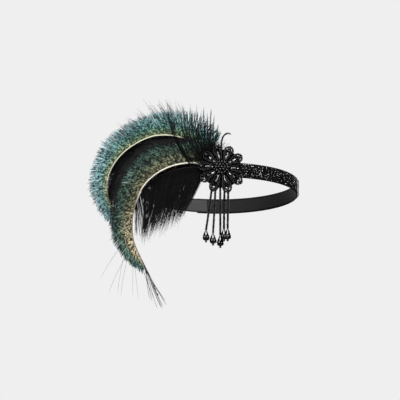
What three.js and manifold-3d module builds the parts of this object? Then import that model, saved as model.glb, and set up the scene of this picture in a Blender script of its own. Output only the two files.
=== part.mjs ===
// Flapper feather headband, as it sits on a head. Millimetres, +Z up.
// The origin is the centre of the oval loop at half the ribbon's height. +X is the front of the head, and the
// beaded rosette with its plumes and bead fringe is worn on the -Y side. The plumes sweep back and down.
import * as THREE from 'three';
import { mergeVertices } from 'three/addons/utils/BufferGeometryUtils.js';
import Module from 'manifold-3d';

const wasm = await Module();
wasm.setup();

// Head loop: a sequinned ribbon whose ends are sewn over a plain elastic insert at the back.
const headLength = 196;
const headBreadth = 160;
const ribbonWidth = 19;
const ribbonThickness = 1.4;
const elasticWidth = 17.5;
const elasticThickness = 1.2;
const elasticLength = 150;
const seamBehindCentre = 15;
const seamLap = 12;
const loopSteps = 26;

// Rosette: a felt pad, a ring of looped bead petals and a domed cluster of round beads.
const rosetteForward = 3.5;
const padRadius = 24;
const padThickness = 5.6;
const petalCount = 10;
const petalFirstAngle = 68;
const petalTipRadius = 29;
const lowerPetalExtra = 3.5;
const petalInnerRadius = 10.6;
const petalWidth = 12.6;
const loopBeadDiameter = 2.4;
const bugleDiameter = 2.4;
const bugleLength = 9;
const tipBeadDiameter = 4;
const beadBite = 0.5;
const domeRadius = 8.6;
const domeThickness = 2.2;
const domeBeadDiameter = 3.4;
const domeBeadPitch = 3.6;
const domeRise = 3;

// Bead fringe: strands of seed beads that each end in a pear drop with a small round bead below it.
const strandDiameter = 2.2;
const pearLength = 13;
const pearDiameter = 8;
const endBeadDiameter = 3;

// Plumes: two peacock sword feathers over two black ostrich plumes. The reach is how far a quill goes back,
// the rise how far up or down, and the bow how far it stands out from the head.
const swordFrontReach = 111;
const swordFrontRise = 180;
const swordFrontBow = 8;
const swordFrontBarb = 40;
const swordBackReach = 141;
const swordBackRise = 42.5;
const swordBackBow = 2;
const swordBackBarb = 39;
const swordLockWidth = 19;
const ostrichLowReach = 107;
const ostrichLowRise = 52;
const ostrichLowBow = 1.2;
const ostrichLowBarb = 80;
const ostrichTopReach = 118;
const ostrichTopRise = 23;
const ostrichTopBow = 2;
const ostrichTopBarb = 74;
const ostrichLockWidth = 16;
const quillRadius = 1.1;
const quillTipShare = 0.3;
const lockThickness = 1.4;
const lockStagger = 0.08;
const narrowestLock = 0.4;
const clearance = 0.3;

// Meshes are thinned by no more than these, the plumes by the larger.
const beadDetail = 0.02;
const plumeDetail = 0.14;

const materials = {
  ribbon: new THREE.MeshStandardMaterial({ color: 0x141416, roughness: 0.35, metalness: 0.3 }),
  elastic: new THREE.MeshStandardMaterial({ color: 0x5a5a5c, roughness: 0.8, metalness: 0 }),
  felt: new THREE.MeshStandardMaterial({ color: 0x101011, roughness: 0.95, metalness: 0 }),
  bead: new THREE.MeshStandardMaterial({ color: 0x08080a, roughness: 0.08, metalness: 0 }),
  sword: new THREE.MeshStandardMaterial({ color: 0x2f6e68, roughness: 0.45, metalness: 0.2 }),
  ostrich: new THREE.MeshStandardMaterial({ color: 0x0f0f10, roughness: 0.8, metalness: 0 }),
};

const bandFace = headBreadth / 2 + ribbonThickness;
const padBack = bandFace + clearance;
const padFront = padBack + padThickness;
const petalDepth = padFront + clearance + loopBeadDiameter / 2;
const quillDepth = bandFace + 2 * clearance + quillRadius;
const group = new THREE.Group();

// A closed geometry as a solid that can be joined and cut.
function solid(geometry) {
  const bare = geometry.clone();
  bare.deleteAttribute('normal');
  bare.deleteAttribute('uv');
  const merged = mergeVertices(bare, 1e-4);
  return new wasm.Manifold(new wasm.Mesh({
    numProp: 3,
    vertProperties: merged.attributes.position.array,
    triVerts: new Uint32Array(merged.index.array),
  }));
}

// A body as a named piece, with any pocket that its joined parts seal between them filled.
function addPiece(name, body, material, detail = beadDetail) {
  const shells = body.simplify(detail).decompose();
  const mesh = wasm.Manifold.compose(shells.filter((shell) => shell.volume() > 0)).getMesh();
  const geometry = new THREE.BufferGeometry();
  geometry.setAttribute('position', new THREE.BufferAttribute(mesh.vertProperties, 3));
  geometry.setIndex(new THREE.BufferAttribute(mesh.triVerts, 1));
  geometry.computeVertexNormals();
  const piece = new THREE.Mesh(geometry, material);
  piece.name = name;
  group.add(piece);
}

function joined(bodies) {
  return bodies.reduce((whole, body) => whole.add(body));
}

// A closed skin over rings of points that each have the same number of corners. Rings that go round meet
// again, and others are capped at both ends.
function skin(rings, round = false) {
  const corners = rings[0].length;
  const points = rings.flat();
  const faces = [];
  const last = (rings.length - 1) * corners;
  for (let r = 0; r < rings.length - (round ? 0 : 1); r++) {
    for (let c = 0; c < corners; c++) {
      const a = r * corners + c;
      const b = r * corners + (c + 1) % corners;
      const [aNext, bNext] = [(a + corners) % points.length, (b + corners) % points.length];
      faces.push(a, b, aNext, b, bNext, aNext);
    }
  }
  for (let c = 1; c < corners - 1 && !round; c++) {
    faces.push(0, c + 1, c);
    faces.push(last, last + c, last + c + 1);
  }
  const geometry = new THREE.BufferGeometry().setFromPoints(points);
  geometry.setIndex(faces);
  return solid(geometry);
}

// A round tube along a curve, with its radius given at each share of the length.
function tube(curve, steps, sides, radiusAt) {
  const frames = curve.computeFrenetFrames(steps, false);
  const rings = [];
  for (let i = 0; i <= steps; i++) {
    const centre = curve.getPointAt(i / steps);
    const ring = [];
    for (let c = 0; c < sides; c++) {
      const angle = (c / sides) * 2 * Math.PI;
      ring.push(centre.clone()
        .addScaledVector(frames.normals[i], Math.cos(angle) * radiusAt(i / steps))
        .addScaledVector(frames.binormals[i], Math.sin(angle) * radiusAt(i / steps)));
    }
    rings.push(ring);
  }
  return skin(rings);
}

// Values between the rows of a table whose first column is a share from 0 to 1.
function tableAt(rows, share) {
  const next = rows.findIndex((row) => row[0] >= share);
  if (next <= 0) return next === 0 ? rows[0] : rows[rows.length - 1];
  const [low, high] = [rows[next - 1], rows[next]];
  const part = (share - low[0]) / (high[0] - low[0]);
  return low.map((value, column) => value + (high[column] - value) * part);
}

// The loop
function angleAlong(start, length) {
  const step = Math.PI / 720;
  let angle = start;
  for (let gone = 0; gone < length; angle += step) {
    gone += step * Math.hypot(headLength / 2 * Math.sin(angle), headBreadth / 2 * Math.cos(angle));
  }
  return angle;
}

function loopWall(inset, thickness, width, from, to) {
  const [rx, ry] = [headLength / 2 - inset, headBreadth / 2 - inset];
  const outline = new THREE.Shape();
  outline.absellipse(0, 0, rx + thickness, ry + thickness, from, to, false);
  outline.absellipse(0, 0, rx, ry, to, from, true);
  outline.closePath();
  const steps = Math.ceil(loopSteps * (to - from) / (2 * Math.PI));
  const options = { depth: width, bevelEnabled: false, curveSegments: steps };
  return solid(new THREE.ExtrudeGeometry(outline, options).translate(0, 0, -width / 2));
}

const seamAngle = Math.acos(-seamBehindCentre / (headLength / 2));
const elasticEnd = angleAlong(seamAngle, elasticLength);
const lapAngle = angleAlong(seamAngle, seamLap) - seamAngle;
addPiece('sequin_ribbon', loopWall(0, ribbonThickness, ribbonWidth,
  elasticEnd - lapAngle - 2 * Math.PI, seamAngle + lapAngle), materials.ribbon);
addPiece('elastic_insert', loopWall(elasticThickness + clearance, elasticThickness, elasticWidth,
  seamAngle, elasticEnd), materials.elastic);

// Plumes. Each quill is a table of shares: back along the reach, up along the rise, and out along the bow.
// Each vane is a table: share of the vane, barb length in shares of the longest barb, and angle to the quill.
// side is 1 for barbs on the outer, upper side of the quill and -1 for barbs that hang below it.
const swordFront = {
  reach: swordFrontReach, rise: swordFrontRise, bow: swordFrontBow, barb: swordFrontBarb,
  side: 1, locks: 17, lockWidth: swordLockWidth, curl: 12,
  quill: [
    [0.106, 0.013, 0], [0.25, 0.036, 0.3], [0.495, 0.021, 0.72], [0.71, -0.04, 0.9], [0.875, -0.143, 1],
    [0.985, -0.3, 0.94], [0.985, -0.5, 0.7], [0.85, -0.7, 0.38], [0.7, -0.9, 0],
  ],
  vane: [
    [0, 1, 54], [0.1, 1.2, 57], [0.24, 1.08, 64], [0.37, 0.92, 64], [0.47, 0.85, 65], [0.58, 0.92, 56],
    [0.68, 0.82, 42], [0.79, 0.64, 30], [0.9, 0.48, 20], [1, 0.4, 8],
  ],
};
const swordBack = {
  reach: swordBackReach, rise: swordBackRise, bow: swordBackBow, barb: swordBackBarb,
  side: 1, locks: 16, lockWidth: swordLockWidth, curl: 8,
  quill: [
    [0.063, 0.19, 0], [0.148, 0.36, 0.1], [0.284, 0.835, 0.7], [0.437, 0.995, 0.9], [0.603, 0.976, 0.9],
    [0.766, 0.727, 0.65], [0.9, 0.341, 0.4], [0.988, -0.184, -0.1], [1, -0.65, -0.6], [0.936, -1.32, -1.6],
  ],
  vane: [
    [0, 0.85, 88], [0.09, 1, 72], [0.2, 0.85, 66], [0.31, 0.75, 72], [0.45, 0.72, 76], [0.57, 0.7, 81],
    [0.68, 0.62, 74], [0.79, 0.58, 72], [0.87, 0.52, 66], [0.95, 0.54, 48], [1, 0.5, 26],
  ],
};
const ostrichLow = {
  reach: ostrichLowReach, rise: ostrichLowRise, bow: ostrichLowBow, barb: ostrichLowBarb,
  side: -1, locks: 13, lockWidth: ostrichLockWidth, curl: 6,
  quill: [
    [0.111, -0.028, 0], [0.262, 0.04, 0.4], [0.514, -0.02, 1], [0.72, -0.22, 1], [0.88, -0.56, 1],
    [0.97, -1, 0.8],
  ],
  vane: [
    [0, 0.52, 92], [0.1, 0.74, 86], [0.2, 0.88, 81], [0.4, 0.98, 73], [0.54, 1, 56], [0.76, 0.8, 36],
    [1, 0.42, 14],
  ],
};
const ostrichTop = {
  reach: ostrichTopReach, rise: ostrichTopRise, bow: ostrichTopBow, barb: ostrichTopBarb,
  side: 1, locks: 11, lockWidth: ostrichLockWidth, curl: 26,
  quill: [
    [0.091, 0.229, 0], [0.17, 0.46, -0.5], [0.38, 0.86, -1.4], [0.635, 0.95, -1.6], [0.85, 0.6, -1.8],
    [1, -0.1, -2.6],
  ],
  vane: [
    [0, 0.6, 76], [0.15, 0.95, 76], [0.32, 1, 78], [0.5, 0.85, 66], [0.66, 0.62, 50], [0.83, 0.5, 36],
    [1, 0.42, 18],
  ],
};

function quillCurve(plume) {
  const points = plume.quill.map(([back, up, out]) => new THREE.Vector3(
    rosetteForward - back * plume.reach, -(quillDepth + out * plume.bow), up * plume.rise));
  return new THREE.CatmullRomCurve3(points, false, 'centripetal');
}

const quillSteps = 18;
const quillSides = 5;
function quillTube(curve, extra) {
  return tube(curve, quillSteps, quillSides, (share) =>
    extra + quillRadius * THREE.MathUtils.lerp(1, quillTipShare, share));
}

// A tapered blade of barbs that leaves the quill at an angle and curls towards the quill's tip. Its profile
// has a row for each section: share of the lock's length, and fullness.
const lockProfile = [[0, 0.8], [0.65, 1], [1, 0.2]];
function lock(root, along, out, length, width, angle, curl) {
  const through = new THREE.Vector3().crossVectors(along, out);
  const place = root.clone();
  const rings = [];
  let before = 0;
  for (const [share, fullness] of lockProfile) {
    const turn = THREE.MathUtils.degToRad(angle - curl * share);
    const heading = along.clone().multiplyScalar(Math.cos(turn)).addScaledVector(out, Math.sin(turn));
    const across = along.clone().multiplyScalar(-Math.sin(turn)).addScaledVector(out, Math.cos(turn));
    place.addScaledVector(heading, (share - before) * length);
    before = share;
    const half = across.multiplyScalar(fullness * width / 2);
    const deep = through.clone().multiplyScalar(fullness * lockThickness / 2);
    rings.push([
      place.clone().add(half), place.clone().add(deep), place.clone().sub(half), place.clone().sub(deep),
    ]);
  }
  return skin(rings);
}

// How far along its quill a vane may start so that locks of this width stay clear of the pad.
const searchStep = 0.005;
function vaneStart(curve, width) {
  const rim = padRadius + clearance + width / 2;
  let share = 0;
  for (let clear = false; !clear && share < 1; share += searchStep) {
    const place = curve.getPointAt(share);
    clear = Math.hypot(place.x - rosetteForward, place.z) > rim;
  }
  return share;
}

// A quill with its vane: overlapping locks that lie a little in front and behind by turns.
function feather(plume) {
  const curve = quillCurve(plume);
  const first = vaneStart(curve, plume.lockWidth);
  const bodies = [quillTube(curve, 0)];
  for (let i = 0; i < plume.locks; i++) {
    const [vaneShare, length, angle] = tableAt(plume.vane, i / (plume.locks - 1));
    const share = first + (1 - first) * vaneShare;
    const along = curve.getTangentAt(share);
    const out = new THREE.Vector3(0, 1, 0).cross(along).normalize().multiplyScalar(plume.side);
    const root = curve.getPointAt(share);
    root.y += (i % 2 ? -1 : 1) * lockStagger;
    const width = plume.lockWidth * THREE.MathUtils.lerp(narrowestLock, 1, Math.min(length, 1));
    bodies.push(lock(root, along, out, length * plume.barb, width, angle, plume.curl));
  }
  return joined(bodies);
}

addPiece('sword_feather_front', feather(swordFront), materials.sword, plumeDetail);
addPiece('sword_feather_back', feather(swordBack), materials.sword, plumeDetail);
addPiece('ostrich_plume_low', feather(ostrichLow), materials.ostrich, plumeDetail);
addPiece('ostrich_plume_top', feather(ostrichTop), materials.ostrich, plumeDetail);

// Rosette
function onRosette(radius, angle, depth) {
  return new THREE.Vector3(rosetteForward + radius * Math.cos(angle), -depth, radius * Math.sin(angle));
}

const beadSides = 10;
const beadRings = 5;
function bead(diameter, place, rings = beadRings) {
  return solid(new THREE.SphereGeometry(diameter / 2, beadSides, rings).translate(place.x, place.y, place.z));
}

// A bugle bead lying along a spoke of the rosette, a little narrower at its ends.
const bugleSides = 6;
const bugleEndShare = 0.8;
function bugle(from, to, angle, depth) {
  const curve = new THREE.LineCurve3(onRosette(from, angle, depth), onRosette(to, angle, depth));
  return tube(curve, 2, bugleSides, (share) => bugleDiameter / 2 * (share === 0.5 ? 1 : bugleEndShare));
}

// The pad is a disc with the ribbon's curve cut from its back and a channel for each quill.
const padSides = 32;
const headSides = 60;
const padReach = (padRadius + rosetteForward) / (headLength / 2);
const padBackEdge = headBreadth / 2 * Math.sqrt(1 - padReach ** 2);
const padBlank = new THREE.CylinderGeometry(padRadius, padRadius, padFront - padBackEdge, padSides)
  .translate(rosetteForward, -(padFront + padBackEdge) / 2, 0);
const headForm = new THREE.Shape().absellipse(0, 0, headLength / 2 + ribbonThickness + clearance,
  bandFace + clearance, 0, 2 * Math.PI, false);
const headOptions = { depth: 4 * padRadius, bevelEnabled: false, curveSegments: headSides };
const headCut = new THREE.ExtrudeGeometry(headForm, headOptions).translate(0, 0, -2 * padRadius);
const plumes = [swordFront, swordBack, ostrichLow, ostrichTop];
const channels = plumes.map((plume) => quillTube(quillCurve(plume), clearance));
addPiece('felt_pad', solid(padBlank).subtract(solid(headCut)).subtract(joined(channels)), materials.felt);

// A string of small beads round a closed curve that faces out from the head.
const loopSides = 5;
const loopRings = 12;
function beadLoop(curve) {
  const outwards = new THREE.Vector3(0, 1, 0);
  const rings = [];
  for (let i = 0; i < loopRings; i++) {
    const centre = curve.getPointAt(i / loopRings);
    const sideways = outwards.clone().cross(curve.getTangentAt(i / loopRings));
    const ring = [];
    for (let c = 0; c < loopSides; c++) {
      const turn = (c / loopSides) * 2 * Math.PI;
      ring.push(centre.clone()
        .addScaledVector(sideways, Math.cos(turn) * loopBeadDiameter / 2)
        .addScaledVector(outwards, Math.sin(turn) * loopBeadDiameter / 2));
    }
    rings.push(ring);
  }
  return skin(rings, true);
}

// Each petal is a teardrop loop of small beads round a bugle bead and a round tip bead. Its profile has a row
// for each point: share of the petal's length, and spread. Petals on the lower side are longer.
const petalProfile = [[0, 0.32], [0.3, 0.62], [0.62, 1], [0.86, 0.82], [1, 0]];
function petal(angle) {
  const half = (petalWidth - loopBeadDiameter) / 2;
  const tipRadius = petalTipRadius + lowerPetalExtra * Math.max(0, -Math.sin(angle));
  const span = tipRadius - loopBeadDiameter / 2 - petalInnerRadius;
  const side = petalProfile.map(([share, spread]) => [petalInnerRadius + share * span, spread * half]);
  const outline = [...side, ...side.slice(0, -1).reverse().map(([radius, spread]) => [radius, -spread])];
  const sideways = new THREE.Vector3(-Math.sin(angle), 0, Math.cos(angle));
  const loop = new THREE.CatmullRomCurve3(outline.map(([radius, spread]) =>
    onRosette(radius, angle, petalDepth).addScaledVector(sideways, spread)), true, 'centripetal');
  const bugleFrom = petalInnerRadius + bugleDiameter / 2 - beadBite;
  const beadRadius = tipRadius - loopBeadDiameter - tipBeadDiameter / 2 + beadBite;
  return joined([
    beadLoop(loop),
    bugle(bugleFrom, bugleFrom + bugleLength, angle, petalDepth),
    bead(tipBeadDiameter, onRosette(beadRadius, angle, petalDepth)),
  ]);
}

for (let i = 0; i < petalCount; i++) {
  const angle = THREE.MathUtils.degToRad(petalFirstAngle - i * 360 / petalCount);
  addPiece(`bead_petal_${i + 1}`, petal(angle), materials.bead);
}

// The cluster's beads sit half sunk in a shallow dome.
const domeBack = padFront + clearance;
const domeHeight = (radius) => domeThickness + domeRise * (1 - (radius / domeRadius) ** 2);
const domeProfile = [[0, 0], [domeRadius, 0]].concat(
  [1, 0.5, 0].map((share) => [share * domeRadius, domeHeight(share * domeRadius)]));
const domeSides = 12;
const domeBeadRings = 4;
const domeBody = new THREE.LatheGeometry(domeProfile.map(([r, h]) => new THREE.Vector2(r, h)), domeSides)
  .rotateX(Math.PI).translate(rosetteForward, -domeBack, 0);
const domeBeads = [bead(domeBeadDiameter, onRosette(0, 0, domeBack + domeHeight(0)), domeBeadRings)];
for (const [count, radius] of [[6, domeBeadPitch], [12, 2 * domeBeadPitch]]) {
  for (let i = 0; i < count; i++) {
    const place = onRosette(radius, (i / count) * 2 * Math.PI, domeBack + domeHeight(radius));
    domeBeads.push(bead(domeBeadDiameter, place, domeBeadRings));
  }
}
addPiece('bead_dome', joined([solid(domeBody), ...domeBeads]), materials.bead);

// Bead fringe. Each row is a strand: where it leaves the pad and where it ends, both forward of the rosette's
// centre, how far down it ends, and how far out it hangs.
const fringe = [
  [-12, -19.5, 79, 0], [-7.8, -10.9, 83, 0], [-2, -2, 86, 0], [3.2, 2.4, 80, 7.6], [7.8, 7, 77.5, 0],
];
const middleDown = 0.45;
const middleAcross = 0.4;
const strandSteps = 8;
const strandCurveSegments = 4;
const strandDepth = padFront - strandDiameter;

// A pear drop's half outline: share of its diameter, and share of its length.
const pearProfile = [
  [0, 0], [0.14, 0.03], [0.24, 0.2], [0.4, 0.55], [0.5, 0.8], [0.4, 0.95], [0.2, 1], [0, 1],
];
const endBeadSink = 0.1;

function strand(top, bottom, drop, forward) {
  const rim = Math.sqrt(padRadius ** 2 - top ** 2);
  const topZ = -rim - clearance - strandDiameter / 2 * Math.abs(top) / padRadius;
  const across = top + (bottom - top) * middleAcross;
  const curve = new THREE.CatmullRomCurve3([
    new THREE.Vector3(rosetteForward + top, -strandDepth, topZ),
    new THREE.Vector3(rosetteForward + across, -strandDepth - forward / 2, topZ - (drop + topZ) * middleDown),
    new THREE.Vector3(rosetteForward + bottom, -strandDepth - forward, -drop),
  ]);
  const section = new THREE.Shape().absarc(0, 0, strandDiameter / 2, 0, 2 * Math.PI, false);
  const options = { steps: strandSteps, extrudePath: curve, curveSegments: strandCurveSegments };
  return solid(new THREE.ExtrudeGeometry(section, options));
}

function pearDrop() {
  const outline = pearProfile.map(([width, down]) =>
    new THREE.Vector2(width * pearDiameter, -down * pearLength)).reverse();
  const pear = solid(new THREE.LatheGeometry(outline, beadSides)).rotate([90, 0, 0]);
  const below = pearLength + endBeadDiameter * (0.5 - endBeadSink);
  return pear.add(bead(endBeadDiameter, new THREE.Vector3(0, 0, -below)));
}

fringe.forEach(([top, bottom, drop, forward], i) => {
  addPiece(`seed_strand_${i + 1}`, strand(top, bottom, drop, forward), materials.bead);
  const hung = pearDrop().translate([rosetteForward + bottom, -strandDepth - forward, -drop - clearance]);
  addPiece(`pear_drop_${i + 1}`, hung, materials.bead);
});

export default group;
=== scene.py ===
import math

import bpy
import numpy as np
from mathutils import Matrix, Vector


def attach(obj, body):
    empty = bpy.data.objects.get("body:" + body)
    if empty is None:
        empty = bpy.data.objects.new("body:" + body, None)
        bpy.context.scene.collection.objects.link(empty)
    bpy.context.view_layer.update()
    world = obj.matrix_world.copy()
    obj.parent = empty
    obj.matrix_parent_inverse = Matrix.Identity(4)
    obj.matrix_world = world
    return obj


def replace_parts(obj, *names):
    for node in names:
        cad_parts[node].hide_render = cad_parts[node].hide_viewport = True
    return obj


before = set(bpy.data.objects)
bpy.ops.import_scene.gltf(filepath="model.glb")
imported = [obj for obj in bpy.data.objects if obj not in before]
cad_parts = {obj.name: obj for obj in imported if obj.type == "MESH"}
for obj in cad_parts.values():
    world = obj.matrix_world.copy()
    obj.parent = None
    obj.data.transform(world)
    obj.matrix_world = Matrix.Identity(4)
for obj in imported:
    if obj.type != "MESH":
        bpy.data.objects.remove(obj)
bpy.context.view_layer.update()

# The headband is put together as a maker would: the ribbon loop, the pad, the plumes, the beaded rosette and
# last the fringe. Sizes are millimetres times MM, in the frame's own axes: +X front, -Y the rosette's side.
MM = 0.001
bpy.ops.object.select_all(action="DESELECT")


# Glitter ribbon: a stretch ribbon of black weave whose outer face is set with fine glitter flakes between two
# plain woven edges. It is cut to go most of the way round the head, and its ends are sewn over the elastic.
LOOP_HALF_LENGTH = 98 * MM
LOOP_HALF_BREADTH = 80 * MM
RIBBON_WIDTH = 19 * MM
RIBBON_THICKNESS = 1.4 * MM
RIBBON_EDGE = 1.1 * MM
FLAKE_COUNT = 9000
FLAKE_RADIUS = (0.24 * MM, 0.5 * MM)
FLAKE_TILT = 0.42
LARGE_FLAKES = 0.12
LARGE_FLAKE_SCALE = 1.5
FLAKE_STAND_OFF = 0.06 * MM
FLAKE_HALF_THICKNESS = 0.05 * MM
DULL = 0.12


def finish(name, colour, roughness, **sockets):
    """A material whose even values sit on the shader's own sockets."""
    material = bpy.data.materials.new(name)
    material.use_nodes = True
    shader = material.node_tree.nodes["Principled BSDF"]
    shader.inputs["Base Color"].default_value = (*colour, 1)
    shader.inputs["Roughness"].default_value = roughness
    for socket, value in sockets.items():
        shader.inputs[socket.replace("_", " ")].default_value = value
    return material


def add_node(material, kind, inputs=(), **settings):
    """A node with its settings, and with its inputs set or linked by name."""
    node = material.node_tree.nodes.new("ShaderNode" + kind)
    for key, value in settings.items():
        setattr(node, key, value)
    for key, value in dict(inputs).items():
        if isinstance(value, bpy.types.NodeSocket):
            material.node_tree.links.new(value, node.inputs[key])
        else:
            node.inputs[key].default_value = value
    return node


def feed(material, socket, value):
    """Links a node's output to a socket of the material's shader."""
    material.node_tree.links.new(value, material.node_tree.nodes["Principled BSDF"].inputs[socket])


def ramp(material, factor, stops):
    """A colour ramp over a factor. Each stop is a place from 0 to 1 and a colour, or a number for a grey."""
    node = add_node(material, "ValToRGB", {"Fac": factor})
    line = node.color_ramp
    rows = [(place, (*np.broadcast_to(colour, 3).tolist(), 1)) for place, colour in stops]
    line.elements[0].position, line.elements[0].color = rows[0]
    line.elements[1].position, line.elements[1].color = rows[-1]
    for place, colour in rows[1:-1]:
        line.elements.new(place).color = colour
    return node.outputs["Color"]


def bump(material, height, strength, distance):
    node = add_node(material, "Bump", {"Height": height, "Strength": strength, "Distance": distance})
    feed(material, "Normal", node.outputs["Normal"])


def place_on(material):
    """Where a point lies on its object, in the object's own coordinates."""
    return add_node(material, "TexCoord").outputs["Object"]


def loop_angles(node):
    """The angles round the loop, in radians, at which a node starts and ends, measured from +X."""
    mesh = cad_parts[node].data
    places = np.empty(len(mesh.vertices) * 3)
    mesh.vertices.foreach_get("co", places)
    places = places.reshape(-1, 3)
    angles = np.sort(np.arctan2(places[:, 1] / LOOP_HALF_BREADTH, places[:, 0] / LOOP_HALF_LENGTH))
    gaps = np.diff(np.append(angles, angles[0] + 2 * math.pi))
    widest = int(np.argmax(gaps))
    start = angles[(widest + 1) % len(angles)]
    return start, start + 2 * math.pi - gaps[widest]


def face_outwards():
    """Turns the active piece's faces outwards."""
    bpy.ops.object.mode_set(mode="EDIT")
    bpy.ops.mesh.select_all(action="SELECT")
    bpy.ops.mesh.normals_make_consistent(inside=False)
    bpy.ops.object.mode_set(mode="OBJECT")


def band(name, inset, thickness, width, start, end, steps=260):
    """A strip of cloth that stands round the head's oval, thickened outwards, with its length along U."""
    bpy.ops.mesh.primitive_grid_add(x_subdivisions=steps, y_subdivisions=10, size=1, calc_uvs=True)
    strip = bpy.context.object
    strip.name = name
    for vertex in strip.data.vertices:
        turn = start + (vertex.co.x + 0.5) * (end - start)
        up = vertex.co.y * width
        vertex.co = (
            (LOOP_HALF_LENGTH - inset) * math.cos(turn),
            (LOOP_HALF_BREADTH - inset) * math.sin(turn),
            up,
        )
    wall = strip.modifiers.new("wall", "SOLIDIFY")
    wall.thickness = thickness
    wall.offset = -1
    rim = strip.modifiers.new("rim", "BEVEL")
    rim.width = thickness * 0.25
    rim.segments = 2
    rim.limit_method = "ANGLE"
    bpy.ops.object.modifier_apply(modifier="wall")
    bpy.ops.object.modifier_apply(modifier="rim")
    face_outwards()
    bpy.ops.object.shade_smooth_by_angle(angle=math.radians(40))
    bpy.ops.object.select_all(action="DESELECT")
    return strip


def face_inner_side(strip, material):
    """Gives the faces that look at the head a second material."""
    strip.data.materials.append(material)
    for face in strip.data.polygons:
        outward = face.center.x * face.normal.x / LOOP_HALF_LENGTH**2
        outward += face.center.y * face.normal.y / LOOP_HALF_BREADTH**2
        if outward < 0:
            face.material_index = 1


ribbon_start, ribbon_end = loop_angles("sequin_ribbon")
ribbon = band("glitter_ribbon", 0, RIBBON_THICKNESS, RIBBON_WIDTH, ribbon_start, ribbon_end)

ribbon_face = finish("black glitter weave", (0.012, 0.012, 0.013), 0.85, Specular_IOR_Level=0.03)
ribbon_place = place_on(ribbon_face)
grit = add_node(ribbon_face, "TexVoronoi", {"Vector": ribbon_place, "Scale": 1500.0})
grit_tone = ramp(ribbon_face, grit.outputs["Color"], [
    (0, 0.002), (0.7, (0.006, 0.006, 0.0065)), (1, (0.04, 0.04, 0.042))])
feed(ribbon_face, "Base Color", grit_tone)
bump(ribbon_face, grit.outputs["Distance"], 0.8, 0.2 * MM)
ribbon.data.materials.append(ribbon_face)

ribbon_back = finish("charcoal ribbon backing", (0.028, 0.028, 0.028), 0.7, Specular_IOR_Level=DULL)
back_uv = add_node(ribbon_back, "UVMap").outputs["UV"]
back_split = add_node(ribbon_back, "SeparateXYZ", {"Vector": back_uv})
back_tone = ramp(ribbon_back, back_split.outputs["Y"], [
    (0, 0.004), (0.09, 0.007), (0.14, 0.023), (0.86, 0.023), (0.91, 0.007), (1, 0.004)])
feed(ribbon_back, "Base Color", back_tone)
back_rib = add_node(ribbon_back, "TexWave", {"Vector": back_uv, "Scale": 260.0, "Distortion": 0.4},
                    bands_direction="X")
bump(ribbon_back, back_rib.outputs["Fac"], 0.35, 0.12 * MM)
face_inner_side(ribbon, ribbon_back)

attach(ribbon, "root")
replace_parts(ribbon, "sequin_ribbon")


def mesh_piece(name, points, faces, uvs=()):
    """A mesh from arrays. Each UV map is a name with one pair for each point."""
    mesh = bpy.data.meshes.new(name)
    mesh.from_pydata(np.asarray(points).tolist(), [], faces)
    corner_points = np.empty(len(mesh.loops), dtype=np.int32)
    mesh.loops.foreach_get("vertex_index", corner_points)
    for uv_name, pairs in uvs:
        layer = mesh.uv_layers.new(name=uv_name)
        layer.data.foreach_set("uv", np.asarray(pairs, dtype=np.float32)[corner_points].ravel())
    mesh.validate()
    piece = bpy.data.objects.new(name, mesh)
    bpy.context.scene.collection.objects.link(piece)
    return piece


def flakes(rng):
    """Small four-sided chips of foil that lie on the ribbon's outer face, each tipped its own way."""
    turn = rng.uniform(ribbon_start + 0.01, ribbon_end - 0.01, FLAKE_COUNT)
    up = rng.uniform(-0.5, 0.5, FLAKE_COUNT) * (RIBBON_WIDTH - 2 * RIBBON_EDGE)
    out_x = LOOP_HALF_LENGTH + RIBBON_THICKNESS
    out_y = LOOP_HALF_BREADTH + RIBBON_THICKNESS
    centre = np.stack([out_x * np.cos(turn), out_y * np.sin(turn), up], 1)
    normal = np.stack([np.cos(turn) / out_x, np.sin(turn) / out_y, np.zeros_like(turn)], 1)
    normal /= np.linalg.norm(normal, axis=1, keepdims=True)
    centre += normal * FLAKE_STAND_OFF
    tipped = normal + rng.normal(0, FLAKE_TILT, (FLAKE_COUNT, 3))
    tipped /= np.linalg.norm(tipped, axis=1, keepdims=True)
    side = np.cross(tipped, rng.normal(0, 1, (FLAKE_COUNT, 3)))
    side /= np.linalg.norm(side, axis=1, keepdims=True)
    other = np.cross(tipped, side)
    radius = rng.uniform(*FLAKE_RADIUS, FLAKE_COUNT)[:, None]
    radius = np.where(rng.uniform(0, 1, radius.shape) < LARGE_FLAKES, radius * LARGE_FLAKE_SCALE, radius)
    corners = [
        centre + radius * (math.cos(a) * side + math.sin(a) * other)
        for a in np.linspace(0, 2 * math.pi, 5)[:4]
    ]
    thick = FLAKE_HALF_THICKNESS * tipped
    points = np.stack([centre + thick, centre - thick, *corners], 1).reshape(-1, 3)
    faces = []
    for flake in range(FLAKE_COUNT):
        first = flake * 6
        for corner in range(4):
            a = first + 2 + corner
            b = first + 2 + (corner + 1) % 4
            faces.append((first, a, b))
            faces.append((first + 1, b, a))
    return mesh_piece("ribbon_glitter", points, faces)


glitter = flakes(np.random.default_rng(11))
foil = finish("black foil glitter", (0.05, 0.05, 0.055), 0.3, Metallic=1.0)
foil_place = place_on(foil)
foil_snap = add_node(foil, "VectorMath", {0: foil_place, 1: (MM, MM, MM)}, operation="SNAP")
foil_cell = add_node(foil, "TexWhiteNoise", {"Vector": foil_snap.outputs["Vector"]})
foil_tone = ramp(foil, foil_cell.outputs["Value"], [
    (0, (0.01, 0.01, 0.011)), (0.74, (0.008, 0.008, 0.009)),
    (0.8, (0.42, 0.42, 0.43)), (1, (0.9, 0.9, 0.92))])
feed(foil, "Base Color", foil_tone)
glitter.data.materials.append(foil)
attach(glitter, "root")


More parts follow.
